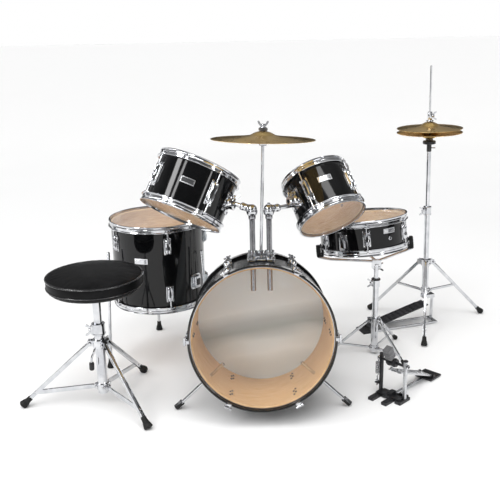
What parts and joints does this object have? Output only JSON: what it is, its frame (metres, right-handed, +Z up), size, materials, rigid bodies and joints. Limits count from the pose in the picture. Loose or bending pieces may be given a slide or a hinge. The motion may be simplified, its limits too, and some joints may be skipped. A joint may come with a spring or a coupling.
{
  "type": "acoustic drum kit",
  "caption": "Small acoustic drum kit with bass drum, rack toms, floor tom, snare, crash, hi-hat, bass pedal and a round throne.",
  "frame": {"origin": "centre of the bounding box, on the floor", "axes": "+X to the right seen from the audience, +Y towards the drummer, +Z up"},
  "size_m": [1.6048, 0.9258, 0.9499],
  "materials": {
    "black_wrap": "black glossy covering on a wooden shell",
    "black_lacquer": "black lacquered wood hoop",
    "wood": "pale plywood inside the shells",
    "chrome": "bright chrome plating",
    "dark_casting": "dark grey semi-gloss paint",
    "clear_film": "clear polyester film",
    "grey_film": "silver grey polyester film",
    "bronze": "turned brass with fine grooves",
    "vinyl": "black grained vinyl",
    "rubber": "black rubber",
    "black_plastic": "black moulded plastic",
    "felt": "black felt"
  },
  "bodies": {
    "kit": {"bass_shell": "black_wrap", "bass_front_hoop": "black_lacquer", "bass_rear_hoop": "black_lacquer", "bass_front_head": "clear_film", "bass_batter_head": "grey_film", "tom_bracket": "chrome", "floor_tom_shell": "black_wrap", "floor_tom_top_hoop": "chrome", "floor_tom_bottom_hoop": "chrome", "floor_tom_head": "clear_film", "hihat_base_tube": "chrome", "snare_stand_base_tube": "chrome", "pedal_frame": "dark_casting"},
    "spur_left": {"spur_left": "chrome"},
    "left_post": {"left_tom_post": "chrome"},
    "left_arm": {"left_tom_arm": "chrome"},
    "left_tom": {"left_tom_shell": "black_wrap", "left_tom_top_hoop": "chrome", "left_tom_bottom_hoop": "chrome", "left_tom_head": "clear_film"},
    "spur_right": {"spur_right": "chrome"},
    "right_post": {"right_tom_post": "chrome"},
    "right_arm": {"right_tom_arm": "chrome"},
    "right_tom": {"right_tom_shell": "black_wrap", "right_tom_top_hoop": "chrome", "right_tom_bottom_hoop": "chrome", "right_tom_head": "clear_film"},
    "crash_rod": {"crash_rod": "chrome"},
    "crash": {"crash_cymbal": "bronze"},
    "floor_leg_back": {"floor_tom_leg_back": "chrome"},
    "floor_leg_left": {"floor_tom_leg_left": "chrome"},
    "floor_leg_right": {"floor_tom_leg_right": "chrome"},
    "snare_upper": {"snare_stand_upper_tube": "chrome"},
    "snare": {"snare_basket": "chrome", "snare_shell": "black_wrap", "snare_top_hoop": "chrome", "snare_bottom_hoop": "chrome", "snare_head": "clear_film"},
    "strainer": {"snare_strainer_lever": "chrome"},
    "snare_sleeve": {"snare_stand_tripod_sleeve": "chrome"},
    "hihat_sleeve": {"hihat_tripod_sleeve": "chrome"},
    "snare_leg_1": {"snare_stand_leg_1": "chrome"},
    "snare_leg_2": {"snare_stand_leg_2": "chrome"},
    "snare_leg_3": {"snare_stand_leg_3": "chrome"},
    "hihat_leg_1": {"hihat_leg_1": "chrome"},
    "hihat_leg_2": {"hihat_leg_2": "chrome"},
    "hihat_leg_3": {"hihat_leg_3": "chrome"},
    "throne_base": {"throne_base_tube": "chrome"},
    "throne_leg_1": {"throne_leg_1": "chrome"},
    "throne_leg_2": {"throne_leg_2": "chrome"},
    "throne_leg_3": {"throne_leg_3": "chrome"},
    "throne_post": {"throne_post": "chrome"},
    "throne_seat": {"throne_seat": "vinyl"},
    "hihat_upper": {"hihat_upper_tube": "chrome", "hihat_bottom_cymbal": "bronze"},
    "hihat_board": {"hihat_footboard": "chrome"},
    "hihat_rod": {"hihat_pull_rod": "chrome", "hihat_top_cymbal": "bronze"},
    "pedal_board": {"pedal_footboard": "chrome"},
    "pedal_beater": {"pedal_beater": "dark_casting"}
  },
  "joints": [
    {"name": "spur_left_slide", "type": "slide", "parent": "kit", "child": "spur_left", "axis": [-0.6906, 0.122, -0.7129], "range_m": [-0.06, 0]},
    {"name": "left_tom_height", "type": "slide", "parent": "kit", "child": "left_post", "axis": [0, 0.1599, 0.9871], "range_m": [-0.02, 0.015]},
    {"name": "left_tom_tilt", "type": "hinge", "parent": "left_post", "child": "left_arm", "pos_m": [-0.09205, -0.22375, 0.58019], "axis": [0.3407, 0.9281, -0.1503], "range_deg": [-4, 8]},
    {"name": "left_tom_roll", "type": "hinge", "parent": "left_arm", "child": "left_tom", "pos_m": [-0.16106, -0.19543, 0.59861], "axis": [-0.8982, 0.3685, 0.2397], "range_deg": [-7, 7]},
    {"name": "spur_right_slide", "type": "slide", "parent": "kit", "child": "spur_right", "axis": [0.6906, 0.122, -0.7129], "range_m": [-0.06, 0]},
    {"name": "right_tom_height", "type": "slide", "parent": "kit", "child": "right_post", "axis": [0, 0.1599, 0.9871], "range_m": [-0.02, 0.03]},
    {"name": "right_tom_tilt", "type": "hinge", "parent": "right_post", "child": "right_arm", "pos_m": [-0.04304, -0.22375, 0.58019], "axis": [0.492, -0.8594, 0.1392], "range_deg": [-2, 12]},
    {"name": "right_tom_roll", "type": "hinge", "parent": "right_arm", "child": "right_tom", "pos_m": [0.04262, -0.17474, 0.58006], "axis": [0.868, 0.4966, -0.0013], "range_deg": [-10, 10]},
    {"name": "crash_height", "type": "slide", "parent": "kit", "child": "crash_rod", "axis": [0, 0.1599, 0.9871], "range_m": [0, 0.018]},
    {"name": "crash_rock", "type": "hinge", "parent": "crash_rod", "child": "crash", "pos_m": [-0.05621, -0.22133, 0.80295], "axis": [0.9995, -0.002, -0.0315], "range_deg": [-6, 6], "stiffness_Nm_per_rad": 1.2},
    {"name": "floor_leg_back_slide", "type": "slide", "parent": "kit", "child": "floor_leg_back", "axis": [0.0105, -0.054, 0.9985], "range_m": [0, 0.06]},
    {"name": "floor_leg_left_slide", "type": "slide", "parent": "kit", "child": "floor_leg_left", "axis": [0.0445, 0.0324, 0.9985], "range_m": [0, 0.06]},
    {"name": "floor_leg_right_slide", "type": "slide", "parent": "kit", "child": "floor_leg_right", "axis": [-0.0451, 0.0316, 0.9985], "range_m": [0, 0.06]},
    {"name": "snare_height", "type": "slide", "parent": "kit", "child": "snare_upper", "axis": [0, 0, 1], "range_m": [-0.02, 0.01]},
    {"name": "snare_tilt", "type": "hinge", "parent": "snare_upper", "child": "snare", "pos_m": [0.32095, 0.0349, 0.316], "axis": [1, 0, 0], "range_deg": [-4, 4]},
    {"name": "snare_strainer", "type": "hinge", "parent": "snare", "child": "strainer", "pos_m": [0.19531, -0.05943, 0.40815], "axis": [0.826, -0.5489, 0.1279], "range_deg": [0, 50]},
    {"name": "snare_leg_1_fold", "type": "hinge", "parent": "snare_sleeve", "child": "snare_leg_1", "pos_m": [0.33381, 0.05022, 0.122], "axis": [-0.766, 0.6428, 0], "range_deg": [0, 43.11]},
    {"name": "snare_leg_2_fold", "type": "hinge", "parent": "snare_sleeve", "child": "snare_leg_2", "pos_m": [0.301, 0.0363, 0.122], "axis": [-0.0698, -0.9976, 0], "range_deg": [0, 43.61]},
    {"name": "snare_leg_3_fold", "type": "hinge", "parent": "snare_sleeve", "child": "snare_leg_3", "pos_m": [0.33214, 0.01832, 0.122], "axis": [0.829, 0.5592, 0], "range_deg": [0, 43.61]},
    {"name": "snare_sleeve_rise", "type": "slide", "parent": "kit", "child": "snare_sleeve", "axis": [0, 0, 1], "range_m": [0, 0.0584]},
    {"name": "hihat_leg_1_fold", "type": "hinge", "parent": "hihat_sleeve", "child": "hihat_leg_1", "pos_m": [0.57627, 0.3156, 0.2394], "axis": [-0.3073, 0.9516, 0], "range_deg": [0, 29.79]},
    {"name": "hihat_leg_2_fold", "type": "hinge", "parent": "hihat_sleeve", "child": "hihat_leg_2", "pos_m": [0.53308, 0.32365, 0.2386], "axis": [-0.631, -0.7758, 0], "range_deg": [0, 30.29]},
    {"name": "hihat_leg_3_fold", "type": "hinge", "parent": "hihat_sleeve", "child": "hihat_leg_3", "pos_m": [0.54737, 0.28343, 0.23886], "axis": [0.9792, -0.2028, 0], "range_deg": [0, 30.29]},
    {"name": "hihat_sleeve_rise", "type": "slide", "parent": "kit", "child": "hihat_sleeve", "axis": [-0.0187, 0, 0.9998], "range_m": [0, 0.0849]},
    {"name": "throne_leg_1_fold", "type": "hinge", "parent": "throne_base", "child": "throne_leg_1", "pos_m": [-0.58098, -0.29005, 0.2], "axis": [0.0698, -0.9976, 0], "range_deg": [0, 40.98]},
    {"name": "throne_leg_2_fold", "type": "hinge", "parent": "throne_base", "child": "throne_leg_2", "pos_m": [-0.53395, -0.30858, 0.2], "axis": [0.7314, 0.682, 0], "range_deg": [0, 41.48]},
    {"name": "throne_leg_3_fold", "type": "hinge", "parent": "throne_base", "child": "throne_leg_3", "pos_m": [-0.54166, -0.26252, 0.2], "axis": [-0.9135, 0.4067, 0], "range_deg": [0, 41.48]},
    {"name": "throne_rise", "type": "slide", "parent": "kit", "child": "throne_base", "axis": [0, 0, 1], "range_m": [0, 0.0949]},
    {"name": "throne_height", "type": "slide", "parent": "throne_base", "child": "throne_post", "axis": [0, 0, 1], "range_m": [-0.04, 0.05]},
    {"name": "throne_seat_spin", "type": "hinge", "parent": "throne_post", "child": "throne_seat", "pos_m": [-0.55305, -0.2881, 0.372], "axis": [0, 0, 1], "continuous": true},
    {"name": "hihat_height", "type": "slide", "parent": "kit", "child": "hihat_upper", "axis": [-0.0187, 0, 0.9998], "range_m": [-0.06, 0]},
    {"name": "hihat_pedal", "type": "hinge", "parent": "kit", "child": "hihat_board", "pos_m": [0.33127, 0.2389, 0.013], "axis": [-0.2924, 0.9563, 0], "range_deg": [0, 3], "stiffness_Nm_per_rad": 12, "springref_deg": -2.86},
    {"name": "hihat_rod_pull", "type": "slide", "parent": "kit", "child": "hihat_rod", "axis": [-0.0187, 0, 0.9998], "range_m": [-0.013, 0.0005]},
    {"name": "pedal_press", "type": "hinge", "parent": "kit", "child": "pedal_board", "pos_m": [0.45703, -0.16159, 0.013], "axis": [0.6947, -0.7193, 0], "range_deg": [0, 11], "stiffness_Nm_per_rad": 3, "springref_deg": -6.88},
    {"name": "pedal_beater_swing", "type": "hinge", "parent": "kit", "child": "pedal_beater", "pos_m": [0.32395, -0.2901, 0.116], "axis": [-0.6947, 0.7193, 0], "range_deg": [-45, 1]}
  ],
  "couplings": [
    {"joint": "snare_leg_2_fold", "follows": "snare_leg_1_fold", "ratio": 1},
    {"joint": "snare_leg_3_fold", "follows": "snare_leg_1_fold", "ratio": 1},
    {"joint": "snare_sleeve_rise", "follows": "snare_leg_1_fold", "m_per_rad": 0.076241},
    {"joint": "hihat_leg_2_fold", "follows": "hihat_leg_1_fold", "ratio": 1},
    {"joint": "hihat_leg_3_fold", "follows": "hihat_leg_1_fold", "ratio": 1},
    {"joint": "hihat_sleeve_rise", "follows": "hihat_leg_1_fold", "m_per_rad": 0.16131},
    {"joint": "throne_leg_2_fold", "follows": "throne_leg_1_fold", "ratio": 1},
    {"joint": "throne_leg_3_fold", "follows": "throne_leg_1_fold", "ratio": 1},
    {"joint": "throne_rise", "follows": "throne_leg_1_fold", "m_per_rad": 0.13134},
    {"joint": "hihat_rod_pull", "follows": "hihat_pedal", "m_per_rad": -0.23873},
    {"joint": "pedal_beater_swing", "follows": "pedal_press", "ratio": -4}
  ]
}
